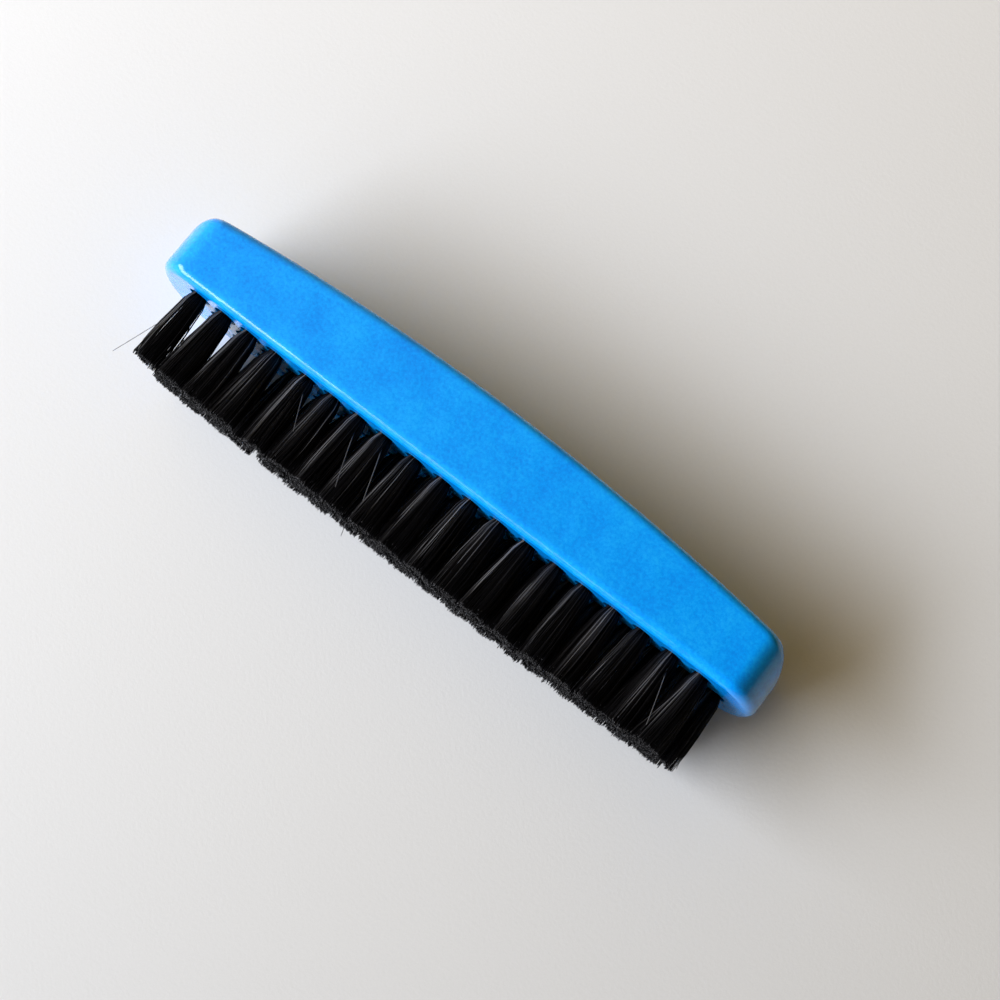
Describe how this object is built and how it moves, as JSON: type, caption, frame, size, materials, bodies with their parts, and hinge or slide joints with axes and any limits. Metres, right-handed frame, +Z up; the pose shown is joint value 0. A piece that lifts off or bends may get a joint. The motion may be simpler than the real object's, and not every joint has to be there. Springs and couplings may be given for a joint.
{
  "type": "fade brush",
  "caption": "Palm-sized fade brush: lacquered wooden block with a bowed back and staggered rows of black bristle tufts.",
  "frame": {"origin": "middle of the flat side that the brush rests on", "axes": "+X along the brush, +Y out of the bowed back, so the bristles point along -Y, and +Z up across the width"},
  "size_m": [0.127, 0.0309, 0.024],
  "materials": {
    "lacquered_wood": "gloss",
    "bristle": "satin"
  },
  "bodies": {
    "root": {"handle_block": "lacquered_wood", "tuft_upper_01": "bristle", "tuft_upper_02": "bristle", "tuft_upper_03": "bristle", "tuft_upper_04": "bristle", "tuft_upper_05": "bristle", "tuft_upper_06": "bristle", "tuft_upper_07": "bristle", "tuft_upper_08": "bristle", "tuft_upper_09": "bristle", "tuft_upper_10": "bristle", "tuft_upper_11": "bristle", "tuft_upper_12": "bristle", "tuft_upper_13": "bristle", "tuft_upper_14": "bristle", "tuft_upper_15": "bristle", "tuft_upper_16": "bristle", "tuft_upper_17": "bristle", "tuft_upper_18": "bristle", "tuft_upper_19": "bristle", "tuft_middle_01": "bristle", "tuft_middle_02": "bristle", "tuft_middle_03": "bristle", "tuft_middle_04": "bristle", "tuft_middle_05": "bristle", "tuft_middle_06": "bristle", "tuft_middle_07": "bristle", "tuft_middle_08": "bristle", "tuft_middle_09": "bristle", "tuft_middle_10": "bristle", "tuft_middle_11": "bristle", "tuft_middle_12": "bristle", "tuft_middle_13": "bristle", "tuft_middle_14": "bristle", "tuft_middle_15": "bristle", "tuft_middle_16": "bristle", "tuft_middle_17": "bristle", "tuft_middle_18": "bristle", "tuft_middle_19": "bristle", "tuft_lower_01": "bristle", "tuft_lower_02": "bristle", "tuft_lower_03": "bristle", "tuft_lower_04": "bristle", "tuft_lower_05": "bristle", "tuft_lower_06": "bristle", "tuft_lower_07": "bristle", "tuft_lower_08": "bristle", "tuft_lower_09": "bristle", "tuft_lower_10": "bristle", "tuft_lower_11": "bristle", "tuft_lower_12": "bristle", "tuft_lower_13": "bristle", "tuft_lower_14": "bristle", "tuft_lower_15": "bristle", "tuft_lower_16": "bristle", "tuft_lower_17": "bristle", "tuft_lower_18": "bristle", "tuft_lower_19": "bristle"}
  },
  "joints": []
}
